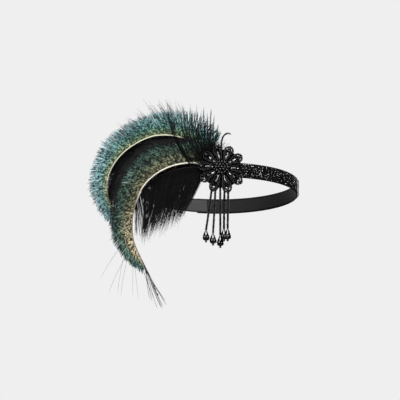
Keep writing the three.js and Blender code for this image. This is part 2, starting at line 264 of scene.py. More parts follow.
# Elastic insert: a flat woven elastic that lets the loop stretch over the head. It lies inside the ribbon's
# ends and is held there by two rows of zigzag stitches at each lap.
ELASTIC_THICKNESS = 1.2 * MM
ELASTIC_WIDTH = 17.5 * MM
LAYER_GAP = 0.3 * MM
STITCH_RADIUS = 0.16 * MM
STITCH_STEP = 1.5 * MM
STITCH_SWAY = 0.7 * MM
STITCHED_LAP = 12 * MM
STITCHED_WIDTH = 0.86 * ELASTIC_WIDTH
STITCH_PROUD = 1.02

elastic_start, elastic_end = loop_angles("elastic_insert")
elastic = band("woven_elastic", ELASTIC_THICKNESS + LAYER_GAP, ELASTIC_THICKNESS, ELASTIC_WIDTH,
               elastic_start, elastic_end, steps=140)
elastic_cloth = finish("charcoal woven elastic", (0.085, 0.085, 0.085), 0.8, Specular_IOR_Level=DULL)
elastic_uv = add_node(elastic_cloth, "UVMap").outputs["UV"]
elastic_split = add_node(elastic_cloth, "SeparateXYZ", {"Vector": elastic_uv})
cords = add_node(elastic_cloth, "TexWave", {"Vector": elastic_uv, "Scale": 7.0, "Distortion": 0.0},
                 bands_direction="Y")
picks = add_node(elastic_cloth, "TexWave", {"Vector": elastic_uv, "Scale": 46.0, "Distortion": 0.6},
                 bands_direction="X")
weave = add_node(elastic_cloth, "Math", {0: cords.outputs["Fac"], 1: picks.outputs["Fac"]},
                 operation="MULTIPLY")
edge_tone = ramp(elastic_cloth, elastic_split.outputs["Y"], [
    (0, 0.02), (0.07, 0.045), (0.13, 0.095), (0.87, 0.095), (0.93, 0.045), (1, 0.02)])
weave_tone = ramp(elastic_cloth, weave.outputs["Value"], [(0, 0.75), (1, 1.15)])
feed(elastic_cloth, "Base Color", add_node(
    elastic_cloth, "MixRGB", {"Fac": 1.0, "Color1": edge_tone, "Color2": weave_tone},
    blend_type="MULTIPLY").outputs["Color"])
bump(elastic_cloth, weave.outputs["Value"], 0.6, 0.25 * MM)
elastic.data.materials.append(elastic_cloth)
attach(elastic, "root")
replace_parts(elastic, "elastic_insert")


def prisms(centres, radii, sides=3, flat=1):
    """Strands as closed, pointed prisms. centres is strands by points by 3, and radii has one for each point.
    flat is their thickness out of the feather's plane as a share of their width in it."""
    strands, points = centres.shape[:2]
    along = np.gradient(centres, axis=1)
    along /= np.linalg.norm(along, axis=2, keepdims=True) + 1e-12
    across = np.cross(along, np.array([0.05, 1.0, 0.03]))
    across /= np.linalg.norm(across, axis=2, keepdims=True) + 1e-12
    beside = np.cross(along, across)
    rings = np.stack([
        centres + radii[..., None] * (math.cos(a) * across + flat * math.sin(a) * beside)
        for a in (math.pi / 2 + 2 * math.pi * k / sides for k in range(sides))
    ], 2)[:, : points - 1]
    each = (points - 1) * sides + 1
    verts = np.concatenate([rings.reshape(strands, -1, 3), centres[:, -1:]], 1).reshape(-1, 3)
    pattern = []
    for k in range(points - 2):
        for j in range(sides):
            low, low_next = k * sides + j, k * sides + (j + 1) % sides
            pattern.append((low, low_next, low_next + sides, low + sides))
    last = (points - 2) * sides
    caps = [(last + j, last + (j + 1) % sides, each - 1) for j in range(sides)]
    base = [tuple(range(sides - 1, -1, -1))]
    starts = np.arange(strands) * each
    faces = []
    for group in (pattern, caps, base):
        block = np.asarray(group)[None] + starts[:, None, None]
        faces.extend(map(tuple, block.reshape(-1, block.shape[-1]).tolist()))
    share = np.concatenate([np.repeat(np.arange(points - 1), sides), [points - 1]]) / (points - 1)
    return verts, faces, np.tile(share, strands), each


def lap_stitches():
    """Zigzag stitches through ribbon and elastic at both laps, on the inner face and the outer face."""
    rows = []
    lap_turn = STITCHED_LAP / LOOP_HALF_LENGTH
    for end, inward in ((elastic_start, 1), (elastic_end, -1)):
        for row in (0.25, 0.75):
            turn = end + inward * row * lap_turn
            steps = int(STITCHED_WIDTH / STITCH_STEP)
            for face in (-1, 1):
                inset = (ELASTIC_THICKNESS + LAYER_GAP if face < 0 else -RIBBON_THICKNESS) * STITCH_PROUD
                for k in range(steps):
                    up = (k / steps - 0.5) * STITCHED_WIDTH
                    sway = STITCH_SWAY / LOOP_HALF_LENGTH * (1 if k % 2 else -1)
                    a = Vector(((LOOP_HALF_LENGTH - inset) * math.cos(turn - sway),
                                (LOOP_HALF_BREADTH - inset) * math.sin(turn - sway), up))
                    b = Vector(((LOOP_HALF_LENGTH - inset) * math.cos(turn + sway),
                                (LOOP_HALF_BREADTH - inset) * math.sin(turn + sway), up + STITCH_STEP))
                    rows.append([a + (b - a) * t for t in (0, 0.33, 0.67, 1)])
    centres = np.array(rows)
    radii = np.tile(np.array([0.8, 1, 1, 0.5]) * STITCH_RADIUS, (len(rows), 1))
    points, faces, _, _ = prisms(centres, radii, 5)
    return mesh_piece("lap_stitches", points, faces)


stitches = lap_stitches()
thread = finish("black sewing thread", (0.015, 0.015, 0.015), 0.5, Sheen_Weight=0.3)
thread_place = place_on(thread)
thread_twist = add_node(thread, "TexNoise", {"Vector": thread_place, "Scale": 4000.0})
bump(thread, thread_twist.outputs["Fac"], 0.5, 0.05 * MM)
stitches.data.materials.append(thread)
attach(stitches, "root")


# Felt pad: a thick disc of black felt, glued to the ribbon. The quills and the rosette's wires are stitched
# and glued into it, and its back follows the ribbon's curve.
ROSETTE_X = 3.5 * MM
PAD_RADIUS = 24 * MM
PAD_THICKNESS = 5.6 * MM
RIBBON_FACE = LOOP_HALF_BREADTH + RIBBON_THICKNESS
PAD_BACK = RIBBON_FACE + LAYER_GAP
PAD_FRONT = PAD_BACK + PAD_THICKNESS


def edit_ends(piece, axis):
    """Goes to edit mode with the faces picked that close a round piece at both ends of an axis."""
    bpy.ops.object.mode_set(mode="EDIT")
    bpy.ops.mesh.select_mode(type="FACE")
    bpy.ops.mesh.select_all(action="DESELECT")
    bpy.ops.object.mode_set(mode="OBJECT")
    for face in piece.data.polygons:
        face.select = abs(face.normal[axis]) > 0.9
    bpy.ops.object.mode_set(mode="EDIT")


bpy.ops.mesh.primitive_cylinder_add(vertices=72, radius=PAD_RADIUS, depth=PAD_THICKNESS, end_fill_type="NGON",
                                    location=(ROSETTE_X, -(PAD_BACK + PAD_FRONT) / 2, 0),
                                    rotation=(math.pi / 2, 0, 0))
pad = bpy.context.object
pad.name = "felt_disc"
bpy.ops.object.transform_apply(location=True, rotation=True, scale=True)
edit_ends(pad, 1)
for ring in (0.4, 1.6, 4, 5, 5):
    bpy.ops.mesh.inset(thickness=ring * MM, use_individual=True)
bpy.ops.object.mode_set(mode="OBJECT")
for vertex in pad.data.vertices:
    if vertex.co.y > -(PAD_BACK + PAD_FRONT) / 2:
        across = vertex.co.x / (LOOP_HALF_LENGTH + RIBBON_THICKNESS + LAYER_GAP)
        vertex.co.y = -PAD_BACK * math.sqrt(1 - across**2)
rim = pad.modifiers.new("rim", "BEVEL")
rim.width = 0.7 * MM
rim.segments = 3
rim.angle_limit = math.radians(50)
bpy.ops.object.modifier_apply(modifier="rim")
bpy.ops.object.shade_smooth_by_angle(angle=math.radians(35))
bpy.ops.object.select_all(action="DESELECT")

felt = finish("black felt", (0.006, 0.006, 0.0065), 0.95, Specular_IOR_Level=0.05)
felt_place = place_on(felt)
felt_fuzz = add_node(felt, "TexNoise", {
    "Vector": felt_place, "Scale": 900.0, "Detail": 8.0, "Roughness": 0.8})
feed(felt, "Base Color", ramp(felt, felt_fuzz.outputs["Fac"], [(0.3, 0.003), (0.8, (0.014, 0.014, 0.0145))]))
bump(felt, felt_fuzz.outputs["Fac"], 0.9, 0.5 * MM)
pad.data.materials.append(felt)
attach(pad, "root")
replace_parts(pad, "felt_pad")


# Sword feathers: two tail feathers of a peacock, stripped on the inner side of the curve. Each has an ivory
# quill, set in the pad, and barbs whose short barbules shine teal at the edge and olive by the quill.
QUILL_RADIUS = 1.1 * MM
QUILL_DEPTH = RIBBON_FACE + 2 * LAYER_GAP + QUILL_RADIUS
SWORD_LOCK_WIDTH = 19 * MM
HEM_SCATTER = 3.5 * MM
LEAST_FALL = 0.05
SHORTEST_BARB = 3 * MM
FLECKS_ALONG = 225
FLECKS_OUT = 24


def smooth_path(rows, samples):
    """A smooth curve through the rows, with samples at even distances along it."""
    rows = np.asarray(rows, dtype=float)
    ends = np.vstack([2 * rows[0] - rows[1], rows, 2 * rows[-1] - rows[-2]])
    fine = []
    for p0, p1, p2, p3 in zip(ends, ends[1:], ends[2:], ends[3:]):
        t1 = math.sqrt(np.linalg.norm(p1 - p0))
        t2 = t1 + math.sqrt(np.linalg.norm(p2 - p1))
        t3 = t2 + math.sqrt(np.linalg.norm(p3 - p2))
        t = np.linspace(t1, t2, 40, endpoint=False)[:, None]
        a1 = (t1 - t) / t1 * p0 + t / t1 * p1
        a2 = (t2 - t) / (t2 - t1) * p1 + (t - t1) / (t2 - t1) * p2
        a3 = (t3 - t) / (t3 - t2) * p2 + (t - t2) / (t3 - t2) * p3
        b1 = (t2 - t) / t2 * a1 + t / t2 * a2
        b2 = (t3 - t) / (t3 - t1) * a2 + (t - t1) / (t3 - t1) * a3
        fine.append((t2 - t) / (t2 - t1) * b1 + (t - t1) / (t2 - t1) * b2)
    fine = np.vstack([*fine, rows[-1:]])
    gone = np.append(0, np.cumsum(np.linalg.norm(np.diff(fine, axis=0), axis=1)))
    even = np.linspace(0, gone[-1], samples)
    return np.stack([np.interp(even, gone, fine[:, k]) for k in range(3)], 1)


def quill_path(plume):
    """A quill's path from a table of shares: back along the reach, up along the rise, out along the bow."""
    rows = np.asarray(plume["quill"])
    return smooth_path(np.stack([
        ROSETTE_X - rows[:, 0] * plume["reach"],
        -(QUILL_DEPTH + rows[:, 2] * plume["bow"]),
        rows[:, 1] * plume["rise"],
    ], 1), 600)


def quill(name, plume, material, tip=0.16):
    """The bare shaft of a feather, round, and tapered to its tip."""
    path = quill_path(plume)[::8]
    share = np.linspace(0, 1, len(path))
    radii = QUILL_RADIUS * (1 - (1 - tip) * share)
    points, faces, along, _ = prisms(path[None], radii[None], 10)
    piece = mesh_piece(name, points, faces, [("Along", np.stack([along, along * 0], 1))])
    piece.data.shade_smooth()
    piece.data.materials.append(material)
    return piece


def vane_roots(plume, shares):
    """Where barbs leave the quill: places, the quill's direction there, and the way out of the curve."""
    path = quill_path(plume)
    off_centre = np.hypot(path[:, 0] - ROSETTE_X, path[:, 2])
    first = np.argmax(off_centre > PAD_RADIUS + LAYER_GAP + plume["lock"] / 2) / len(path)
    at = np.clip(first + (1 - first) * shares, 0, 1) * (len(path) - 1)
    tangent = np.gradient(path, axis=0)
    tangent /= np.linalg.norm(tangent, axis=1, keepdims=True)
    index = np.arange(len(path))
    place = np.stack([np.interp(at, index, path[:, k]) for k in range(3)], 1)
    along = np.stack([np.interp(at, index, tangent[:, k]) for k in range(3)], 1)
    out = np.cross(np.array([0, 1.0, 0]), along) * plume["side"]
    out /= np.linalg.norm(out, axis=1, keepdims=True)
    return place, along, out


def grow(plume, shares, lengths, angles, curls, lifts, points, sway, rng):
    """Barbs as lines of points that leave the quill at an angle, turn to its tip and lift off the plane."""
    place, along, out = vane_roots(plume, shares)
    steps = np.linspace(0, 1, points)
    turn = np.radians(angles[:, None] - curls[:, None] * steps**1.3)
    rate = rng.uniform(4, 9, len(shares))[:, None]
    phase = rng.uniform(0, 6, len(shares))[:, None]
    turn += sway * np.sin(steps[None] * rate + phase)
    heading = np.cos(turn)[..., None] * along[:, None] + np.sin(turn)[..., None] * out[:, None]
    steps_out = np.diff(steps, prepend=0)[None, :, None] * lengths[:, None, None] * heading
    centres = place[:, None] + np.cumsum(steps_out, axis=1)
    centres[..., 1] -= lifts[:, None] * steps**1.5
    return centres


def barbules(centres, per_side, length, radius, lean, rng):
    """Short pointed hairs along both sides of each barb, thinner and shorter towards its end."""
    strands, points = centres.shape[:2]
    along = np.gradient(centres, axis=1)
    along /= np.linalg.norm(along, axis=2, keepdims=True) + 1e-12
    spots = np.linspace(0.02, 0.97, per_side)
    jitter = rng.uniform(-0.05, 0.05, (strands, per_side, 2))
    at = np.clip(spots[None, :, None] * (points - 1) + jitter, 0, points - 1.001)
    low = at.astype(int)
    part = (at - low)[..., None]
    rows = np.arange(strands)[:, None, None]
    root = centres[rows, low] * (1 - part) + centres[rows, low + 1] * part
    ahead = along[rows, low]
    across = np.cross(ahead, np.array([0.05, 1.0, 0.03]))
    across /= np.linalg.norm(across, axis=3, keepdims=True) + 1e-12
    across[:, :, 1] *= -1
    through = np.cross(ahead, across)
    lean = np.radians(lean + rng.uniform(-10, 10, at.shape))[..., None]
    tilt = rng.uniform(-0.3, 0.3, at.shape)[..., None]
    heading = np.cos(lean) * ahead + np.sin(lean) * across + through * tilt
    heading /= np.linalg.norm(heading, axis=3, keepdims=True)
    fall = (1 - 0.55 * spots[None, :, None]) * rng.uniform(0.75, 1.15, at.shape)
    tips = root + heading * (length * fall)[..., None]
    one = np.cross(heading, through)
    one /= np.linalg.norm(one, axis=3, keepdims=True) + 1e-12
    two = np.cross(heading, one)
    corners = [root + radius * one, root - radius * one, root + 0.25 * radius * two]
    points = np.stack([*corners, tips], 3).reshape(-1, 3)
    starts = np.arange(len(points) // 4) * 4
    pattern = np.array([(0, 1, 3), (1, 2, 3), (2, 0, 3), (0, 2, 1)])
    faces = (pattern[None] + starts[:, None, None]).reshape(-1, 3).tolist()
    share = np.repeat(np.broadcast_to(spots[None, :, None], at.shape).ravel(), 4)
    return points, list(map(tuple, faces)), share


def clump_pull(shares, count, rng):
    """How far each barb's tip leans to the nearest of a number of uneven clumps, as zipped barbs do."""
    low = shares.min()
    middles = low + (1 - low) * (np.arange(count) + rng.uniform(-0.3, 0.3, count)) / count
    nearest = middles[np.argmin(np.abs(shares[:, None] - middles[None]), axis=1)]
    return nearest - shares


def vane(name, plume, material, rng):
    """The barbs and barbules of one feather as one mesh, with UVs along each barb and along the feather."""
    count = plume["barbs"]
    shares = np.linspace(plume["start"], 1, count) + rng.normal(0, 0.2 / count, count)
    shares = shares[rng.uniform(0, 1, count) < np.interp(shares, *zip(*plume["kept"]))]
    count = len(shares)
    table = np.asarray(plume["vane"])
    lengths = np.interp(shares, table[:, 0], table[:, 1]) * plume["barb"]
    angles = np.interp(shares, table[:, 0], table[:, 2])
    lean = clump_pull(shares, plume["clumps"], rng)
    angles = angles + rng.normal(0, plume["ruffle"], count)
    lengths = lengths * rng.normal(1, plume["ragged"], count).clip(0.6, 1.35)
    curls = plume["curl"] + rng.normal(0, plume["ruffle"], count) + np.degrees(lean * plume["gather"])
    lifts = rng.uniform(-1, 1, count) * plume["loft"] + plume.get("lift", 0)
    if "hem" in plume:
        way = np.radians(angles - curls / 2)
        place, ahead, out = vane_roots(plume, shares)
        fall = -(np.cos(way) * ahead[:, 2] + np.sin(way) * out[:, 2])
        room = place[:, 2] - plume["hem"] + rng.normal(0, HEM_SCATTER, count)
        cut = np.minimum(lengths, room / np.maximum(fall, LEAST_FALL))
        lengths = np.where(fall > LEAST_FALL, cut, lengths).clip(SHORTEST_BARB)
    centres = grow(plume, shares, lengths, angles, curls, lifts, plume["points"], 0.03, rng)
    taper = 1 - plume["taper"] * np.linspace(0, 1, plume["points"]) ** 1.5
    radii = plume["thick"] * taper[None] * rng.uniform(0.8, 1.2, count)[:, None]
    points, faces, along, each = prisms(centres, radii, flat=plume["flat"])
    chance = np.repeat(rng.uniform(0, 1, count), each)
    far = np.repeat(shares, each)
    if plume["barbules"]:
        more, more_faces, more_along = barbules(
            centres, plume["barbules"], plume["barbule"], plume["hair"], plume["lean"], rng)
        start = len(points)
        faces += [tuple(corner + start for corner in face) for face in more_faces]
        points = np.vstack([points, more])
        along = np.append(along, more_along)
        per_barb = len(more) // count
        strand_chance = np.repeat(chance.reshape(count, each)[:, 0], per_barb // 4)
        own_chance = rng.uniform(0, 1, len(strand_chance))
        chance = np.append(chance, np.repeat(strand_chance * 0.4 + own_chance * 0.6, 4))
        far = np.append(far, np.repeat(shares, per_barb))
    piece = mesh_piece(name, points, faces, [
        ("Barb", np.stack([along, chance], 1)),
        ("Feather", np.stack([far, along * 0], 1)),
    ])
    piece.data.materials.append(material)
    return piece


def barb_colour(name, early, late, roughness, speckle, fleck_shade_and_glint, **sockets):
    """Feather colours: one ramp along the barb for the feather's base and one for its tail. They break up
    into dark and bright flecks that follow the barbs: partly the barbs' own uneven tone, partly painted shade
    in the dark flecks and painted glints and sheen in the bright ones."""
    material = finish(name, early[0][1], roughness, **sockets)
    barb = add_node(material, "UVMap", uv_map="Barb").outputs["UV"]
    feather = add_node(material, "UVMap", uv_map="Feather").outputs["UV"]
    barb_split = add_node(material, "SeparateXYZ", {"Vector": barb})
    feather_split = add_node(material, "SeparateXYZ", {"Vector": feather})
    far = add_node(material, "MapRange", {
        "Value": feather_split.outputs["X"], "From Min": 0.42, "From Max": 0.7})
    blend = add_node(material, "MixRGB", {
        "Fac": far.outputs["Result"], "Color1": ramp(material, barb_split.outputs["X"], early),
        "Color2": ramp(material, barb_split.outputs["X"], late)})
    spread = add_node(material, "CombineXYZ", {"X": feather_split.outputs["X"], "Y": barb_split.outputs["X"]})
    stretched = add_node(material, "VectorMath", {
        0: spread.outputs["Vector"], 1: (FLECKS_ALONG, FLECKS_OUT, 1)}, operation="MULTIPLY")
    cells = add_node(material, "TexVoronoi", {"Vector": stretched.outputs["Vector"], "Scale": 1.0})
    fleck = add_node(material, "SeparateXYZ", {"Vector": cells.outputs["Color"]})
    uneven = add_node(material, "MixRGB", {
        "Fac": speckle, "Color1": barb_split.outputs["Y"], "Color2": fleck.outputs["X"]})
    # The flecks' ramp multiplies the colour: painted shade where it is dark and painted glints and sheen where
    # it is bright.
    feed(material, "Base Color", add_node(material, "MixRGB", {
        "Fac": 1.0, "Color1": blend.outputs["Color"],
        "Color2": ramp(material, uneven.outputs["Color"], fleck_shade_and_glint),
    }, blend_type="MULTIPLY").outputs["Color"])
    return material


# Fleck multipliers on the feathers' colour: the darkest are painted shade between the barbs, the brightest
# painted glints on the teal barbs and painted sheen on the black ones, and those between are the barbs' own
# uneven tone.
SWORD_TONE_SHADE_AND_GLINT = [(0.22, (0.01, 0.03, 0.03)), (0.45, (0.08, 0.12, 0.12)), (0.6, 1.0), (0.8, (4.6, 3.9, 3.9))]
OSTRICH_TONE_SHADE_AND_SHEEN = [(0.15, 0.4), (0.5, 0.8), (0.7, 1.3), (0.9, 4)]


def ivory(name, pale, fade):
    """A quill's horn: pale ivory up to a share of its length, and then the colour of the barbs beside it."""
    material = finish(name, pale, 0.4)
    length = add_node(material, "UVMap", uv_map="Along").outputs["UV"]
    along = add_node(material, "SeparateXYZ", {"Vector": length})
    feed(material, "Base Color", ramp(material, along.outputs["X"], [
        (0, pale), (fade, pale), (fade + 0.08, (0.2, 0.18, 0.12)), (1, (0.07, 0.06, 0.04))]))
    grain = add_node(material, "TexNoise", {"Vector": place_on(material), "Scale": 700.0})
    bump(material, grain.outputs["Fac"], 0.25, 0.1 * MM)
    return material


front_ivory = ivory("ivory quill of the front feather", (0.78, 0.74, 0.62), 0.4)
back_ivory = ivory("ivory quill of the back feather", (0.72, 0.75, 0.55), 0.78)

SWORD = {
    "lock": SWORD_LOCK_WIDTH, "side": 1, "points": 8, "flat": 0.15, "barbules": 14, "barbule": 1.6 * MM,
    "lean": 40,
}
SWORD_FRONT = {
    **SWORD,
    "reach": 111 * MM, "rise": 180 * MM, "bow": 8 * MM, "barb": 40 * MM,
    "curl": 12, "barbs": 960, "clumps": 95, "gather": 2, "ruffle": 1.0, "ragged": 0.05, "loft": 1.0 * MM,
    "start": -0.06, "kept": [(0.77, 1), (0.79, 0.1)], "hem": -128 * MM,
    "thick": 0.72 * MM, "taper": 0.45, "hair": 0.3 * MM,
    "quill": [
        (0.106, 0.013, 0), (0.25, 0.036, 0.3), (0.495, 0.021, 0.72), (0.71, -0.04, 0.9), (0.875, -0.143, 1),
        (0.97, -0.3, 0.94), (0.98, -0.5, 0.7), (0.85, -0.7, 0.38), (0.7, -0.9, 0),
    ],
    "vane": [
        (0, 1, 54), (0.1, 1.14, 57), (0.24, 1.0, 64), (0.37, 0.86, 64), (0.47, 0.79, 65), (0.58, 0.76, 56),
        (0.68, 0.62, 40), (0.79, 0.48, 28), (0.9, 0.4, 20), (1, 0.35, 8),
    ],
}
SWORD_BACK = {
    **SWORD,
    "reach": 141 * MM, "rise": 42.5 * MM, "bow": 2 * MM, "barb": 37.5 * MM,
    "curl": 8, "barbs": 860, "clumps": 80, "gather": 7, "ruffle": 1.2, "ragged": 0.06, "loft": 0.9 * MM,
    "start": -0.03, "kept": [(0, 1), (1, 1)],
    "thick": 0.58 * MM, "taper": 0.55, "hair": 0.28 * MM,
    "quill": [
        (0.063, 0.19, 0), (0.148, 0.36, 0.1), (0.284, 0.835, 0.7), (0.437, 0.995, 0.9), (0.603, 0.976, 0.9),
        (0.766, 0.727, 0.65), (0.9, 0.341, 0.4), (0.988, -0.184, -0.1), (1, -0.65, -0.6),
        (0.936, -1.32, -1.6),
    ],
    "vane": [
        (0, 0.9, 88), (0.09, 1, 72), (0.2, 0.88, 66), (0.31, 0.78, 72), (0.45, 0.74, 76), (0.57, 0.72, 81),
        (0.68, 0.64, 74), (0.79, 0.6, 72), (0.87, 0.54, 66), (0.95, 0.5, 48), (1, 0.45, 26),
    ],
}
sword_front_colour = barb_colour(
    "dark teal and olive barbs",
    [(0, (0.06, 0.062, 0.034)), (0.25, (0.045, 0.056, 0.031)), (0.5, (0.02, 0.042, 0.03)),
     (0.72, (0.016, 0.038, 0.031)), (0.84, (0.003, 0.004, 0.0035)), (1, (0.002, 0.0025, 0.002))],
    [(0, (0.24, 0.22, 0.15)), (0.35, (0.2, 0.19, 0.12)), (0.6, (0.045, 0.085, 0.06)),
     (1, (0.03, 0.085, 0.08))],
    0.5, 0.75, SWORD_TONE_SHADE_AND_GLINT, Specular_IOR_Level=0.15)
sword_back_colour = barb_colour(
    "bright teal and green barbs",
    [(0, (0.08, 0.095, 0.05)), (0.22, (0.045, 0.095, 0.055)), (0.4, (0.03, 0.09, 0.08)),
     (1, (0.055, 0.13, 0.14))],
    [(0, (0.14, 0.16, 0.09)), (0.22, (0.075, 0.135, 0.095)), (0.4, (0.06, 0.14, 0.14)),
     (1, (0.1, 0.19, 0.21))],
    0.5, 0.75, SWORD_TONE_SHADE_AND_GLINT, Specular_IOR_Level=0.15)

# Long loose hairs at the front feather's tail: share of the vane, length, and angle to the quill.
TAIL_WISPS = [
    (0.59, 75 * MM, 36), (0.66, 75 * MM, 42), (0.56, 92 * MM, 11), (0.62, 81 * MM, 8), (0.6, 86 * MM, 15),
    (0.68, 70 * MM, 17), (0.72, 74 * MM, -3), (0.78, 60 * MM, -2), (0.7, 66 * MM, 5), (0.75, 58 * MM, 11),
    (0.8, 62 * MM, 5), (0.82, 56 * MM, 9), (0.84, 52 * MM, 1), (0.86, 46 * MM, 6), (0.8, 50 * MM, 14),
    (0.83, 40 * MM, 18), (0.9, 38 * MM, -4), (0.92, 34 * MM, 6),
]
WISP_POINTS = 12
WISP_RADIUS = 0.22 * MM
THICK_WISPS_FROM = 0.77


def tail_wisps(rng):
    """Single bare hairs from the table, thicker where the vane ends."""
    rows = np.array(TAIL_WISPS)
    ones = np.ones(len(rows))
    share, length, angle = rows.T
    centres = grow(SWORD_FRONT, share, length, angle, ones * 5, ones * 0, WISP_POINTS, 0.04, rng)
    taper = 1 - 0.5 * np.linspace(0, 1, WISP_POINTS)
    radii = WISP_RADIUS * taper * (1 + 0.9 * (rows[:, :1] > THICK_WISPS_FROM))
    points, faces, along, each = prisms(centres, radii)
    chance = np.repeat(rng.uniform(0.25, 0.5, len(rows)), each)
    return mesh_piece("sword_front_wisps", points, faces, [
        ("Barb", np.stack([along * 0 + 0.5, chance], 1)),
        ("Feather", np.stack([along * 0, along * 0], 1)),
    ])


wisps = tail_wisps(np.random.default_rng(23))
wisps.data.materials.append(sword_front_colour)
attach(wisps, "root")
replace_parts(wisps, "sword_feather_front")

for side_name, plume, colour, horn, seed in (
    ("front", SWORD_FRONT, sword_front_colour, front_ivory, 21),
    ("back", SWORD_BACK, sword_back_colour, back_ivory, 22),
):
    node = "sword_feather_" + side_name
    for piece in (
        vane(f"sword_{side_name}_barbs", plume, colour, np.random.default_rng(seed)),
        quill(f"sword_{side_name}_quill", plume, horn),
    ):
        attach(piece, "root")
        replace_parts(piece, node)


# Ostrich plumes: soft black plumes whose long barbs have fluffy barbules. One hangs below the front feather's
# quill, and the other stands behind both sword feathers and shows between and above them.
OSTRICH_LOCK_WIDTH = 16 * MM
BARBULE_RADIUS = 0.12 * MM
OSTRICH = {
    "lock": OSTRICH_LOCK_WIDTH, "points": 10, "flat": 0.7, "taper": 0.75, "barbules": 7,
    "hair": BARBULE_RADIUS,
}
OSTRICH_LOW = {
    **OSTRICH, "side": -1,
    "reach": 107 * MM, "rise": 52 * MM, "bow": 1.2 * MM, "barb": 80 * MM,
    "curl": 6, "barbs": 1500, "clumps": 56, "gather": 7, "ruffle": 0.8, "ragged": 0.1, "loft": 1.4 * MM,
    "lift": 0.4 * MM, "start": -0.14, "kept": [(0.35, 1), (0.6, 0.42), (0.8, 0.2), (1, 0.14)],
    "thick": 0.27 * MM, "barbule": 1.6 * MM, "lean": 22,
    "quill": [
        (0.111, -0.028, 0), (0.262, 0.04, 0.4), (0.514, -0.02, 1), (0.72, -0.19, 1), (0.9, -0.5, 1),
        (1, -0.95, 0.8),
    ],
    "vane": [
        (-0.14, 0.62, 84), (-0.07, 0.7, 80), (0, 0.76, 76), (0.15, 0.9, 70), (0.35, 0.92, 58),
        (0.5, 0.87, 50), (0.65, 0.8, 44), (0.8, 0.7, 38), (0.92, 0.55, 30), (1, 0.42, 24),
    ],
}
OSTRICH_TOP = {
    **OSTRICH, "side": 1,
    "reach": 118 * MM, "rise": 23 * MM, "bow": 2 * MM, "barb": 74 * MM,
    "curl": 26, "barbs": 420, "clumps": 17, "gather": 4, "ruffle": 0.9, "ragged": 0.09, "loft": 0.8 * MM,
    "start": -0.1, "kept": [(0, 1), (1, 1)],
    "thick": 0.26 * MM, "barbule": 1.8 * MM, "lean": 18,
    "quill": [
        (0.091, 0.229, 0), (0.17, 0.46, -0.5), (0.38, 0.86, -1.4), (0.635, 0.95, -1.6), (0.85, 0.6, -1.8),
        (1, -0.1, -2.6),
    ],
    "vane": [
        (0, 0.6, 76), (0.15, 0.86, 76), (0.32, 0.88, 78), (0.5, 0.78, 66), (0.66, 0.55, 50), (0.83, 0.4, 36),
        (1, 0.3, 18),
    ],
}
# The same plume's shorter barbs lie along the curve and fill the hollow between the two sword feathers.
OSTRICH_FILL = {
    **OSTRICH_TOP, "curl": 36, "barbs": 2400, "clumps": 60, "gather": 1, "ruffle": 5, "ragged": 0.16,
    "loft": 1.2 * MM, "start": -0.06, "thick": 0.32 * MM, "barbules": 0,
    "vane": [
        (-0.06, 0.5, 46), (0.1, 0.52, 44), (0.3, 0.58, 36), (0.5, 0.62, 26), (0.8, 0.7, 12), (1, 0.7, -4),
    ],
}
ostrich_colour = barb_colour(
    "soft black barbs",
    [(0, (0.004, 0.004, 0.0045)), (0.6, (0.006, 0.006, 0.0065)), (1, (0.012, 0.012, 0.0125))],
    [(0, (0.004, 0.004, 0.0045)), (0.6, (0.006, 0.006, 0.0065)), (1, (0.014, 0.014, 0.0145))],
    0.5, 0.4, OSTRICH_TONE_SHADE_AND_SHEEN, Specular_IOR_Level=0.1)
black_quill = finish("black quill", (0.01, 0.009, 0.008), 0.5, Specular_IOR_Level=0.2)
black_grain = add_node(black_quill, "TexNoise", {
    "Vector": place_on(black_quill), "Scale": 700.0})
bump(black_quill, black_grain.outputs["Fac"], 0.25, 0.1 * MM)

for node, pieces in (
    ("ostrich_plume_low", (
        vane("ostrich_low_barbs", OSTRICH_LOW, ostrich_colour, np.random.default_rng(31)),
        quill("ostrich_low_quill", OSTRICH_LOW, black_quill),
    )),
    ("ostrich_plume_top", (
        vane("ostrich_top_barbs", OSTRICH_TOP, ostrich_colour, np.random.default_rng(32)),
        vane("ostrich_top_fill", OSTRICH_FILL, ostrich_colour, np.random.default_rng(33)),
        quill("ostrich_top_quill", OSTRICH_TOP, black_quill),
    )),
):
    for piece in pieces:
        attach(piece, "root")
        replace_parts(piece, node)


# Fronds: the top plume's longest barbs, which have come through between the sword feathers and lie over them
# in thin pointed locks. They fan out from beside the rosette, from upright at its side to leaning well back.
# Each lock has a share of the way back, a number of hairs and a share of its full reach.
FROND_LOCKS = [
    (1, 12, 1), (0.95, 4, 0.94), (0.87, 3, 0.82), (0.76, 4, 0.86), (0.66, 7, 0.92), (0.58, 5, 0.84),
    (0.5, 8, 0.97), (0.42, 6, 0.86), (0.35, 8, 0.98), (0.27, 5, 0.88), (0.2, 9, 0.99), (0.12, 6, 0.88),
    (0.05, 8, 1.0), (-0.03, 5, 0.84), (-0.14, 6, 0.62),
]
FROND_POINTS = 12
SPRIG_HAIRS = 13


def plume_hairs(name, centres, radius, taper, per_side, length, lean, rng):
    """Black hairs with barbules from lines of points, as one mesh."""
    strands, points = centres.shape[:2]
    radii = np.tile(radius * (1 - taper * np.linspace(0, 1, points)), (strands, 1))
    verts, faces, along, each = prisms(centres, radii, flat=0.7)
    more, more_faces, more_along = barbules(centres, per_side, length, BARBULE_RADIUS, lean, rng)
    faces += [tuple(corner + len(verts) for corner in face) for face in more_faces]
    chance = rng.uniform(0, 1, strands)
    chance = np.append(np.repeat(chance, each), np.repeat(chance, len(more) // strands))
    along = np.append(along, more_along)
    piece = mesh_piece(name, np.vstack([verts, more]), faces, [
        ("Barb", np.stack([along, chance], 1)),
        ("Feather", np.stack([chance, along * 0], 1)),
    ])
    piece.data.materials.append(ostrich_colour)
    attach(piece, "root")
    return piece


